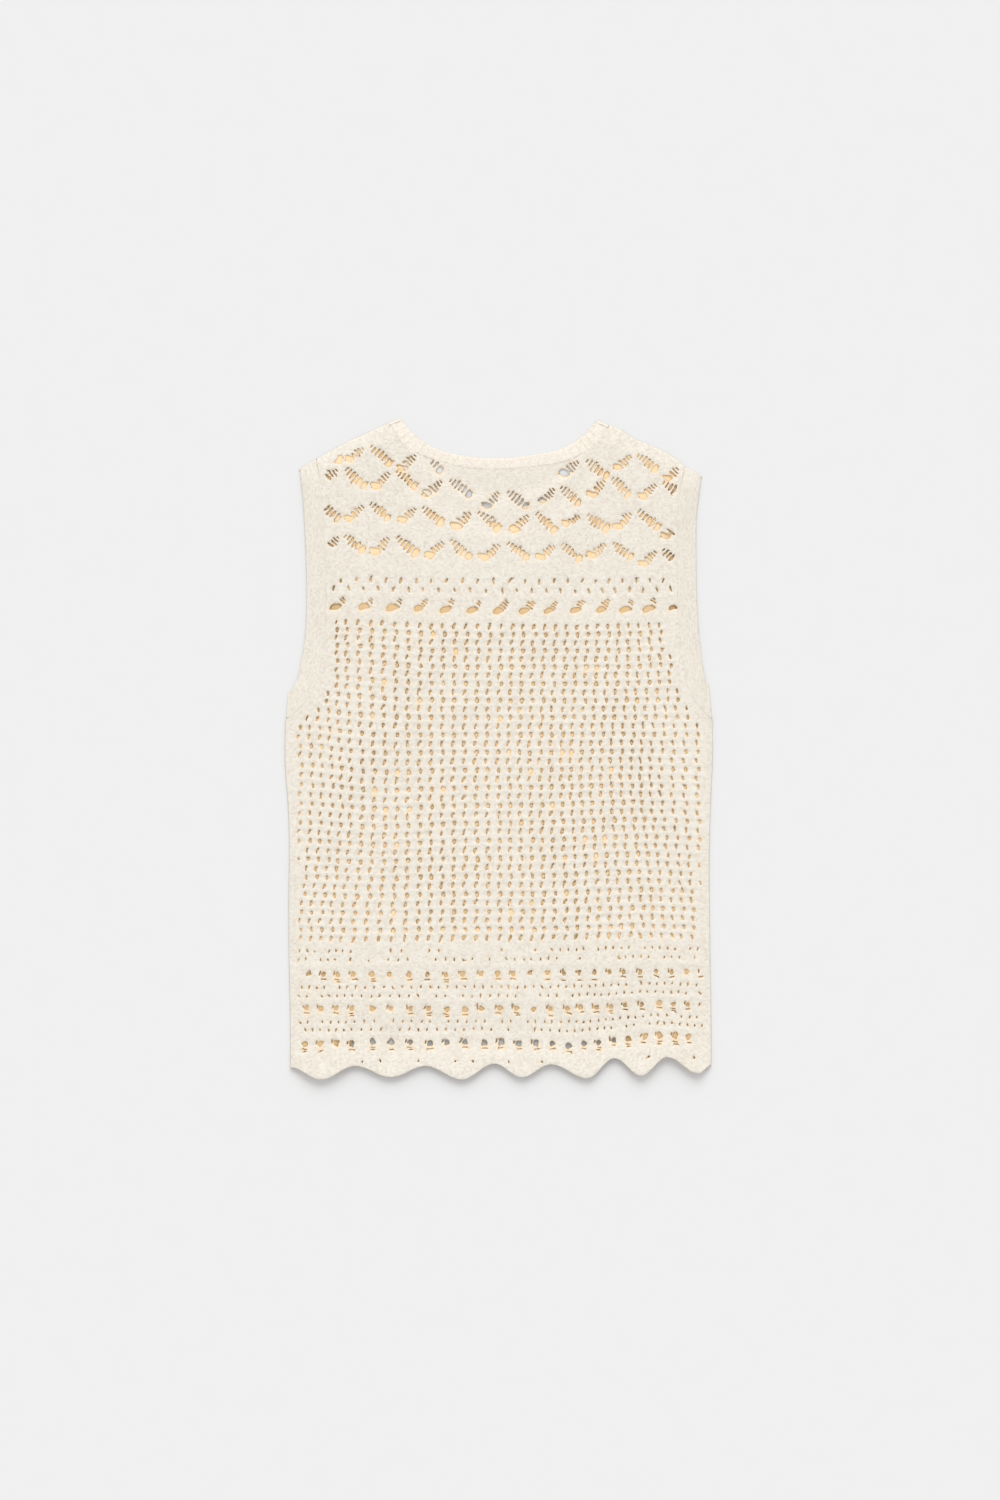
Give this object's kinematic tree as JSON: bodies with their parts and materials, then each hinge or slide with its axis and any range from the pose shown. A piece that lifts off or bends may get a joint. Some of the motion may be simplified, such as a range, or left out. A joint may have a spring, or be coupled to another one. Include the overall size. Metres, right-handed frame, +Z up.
{
  "type": "sleeveless openwork knit top, laid flat",
  "caption": "Sleeveless fine-knit lace top laid flat, back side up, with a scalloped hem, a ribbed neckband and plain armhole bands.",
  "frame": {"origin": "middle of the garment's length and width, on the surface it lies on", "axes": "+Z up from the surface, +Y from the hem to the neck, +X to the right as seen from above"},
  "size_m": [0.3846, 0.5948, 0.0052],
  "materials": {
    "openwork_knit": "matt cream cotton knit in lace stitches, open holes in rows",
    "rib_knit": "matt warm cream cotton in fine rib",
    "plain_knit": "matt cream cotton in plain fine-gauge knit"
  },
  "bodies": {
    "root": {"back_panel": "openwork_knit", "front_panel": "openwork_knit", "neckband": "rib_knit", "armhole_band_left": "plain_knit", "armhole_band_right": "plain_knit"}
  },
  "joints": []
}
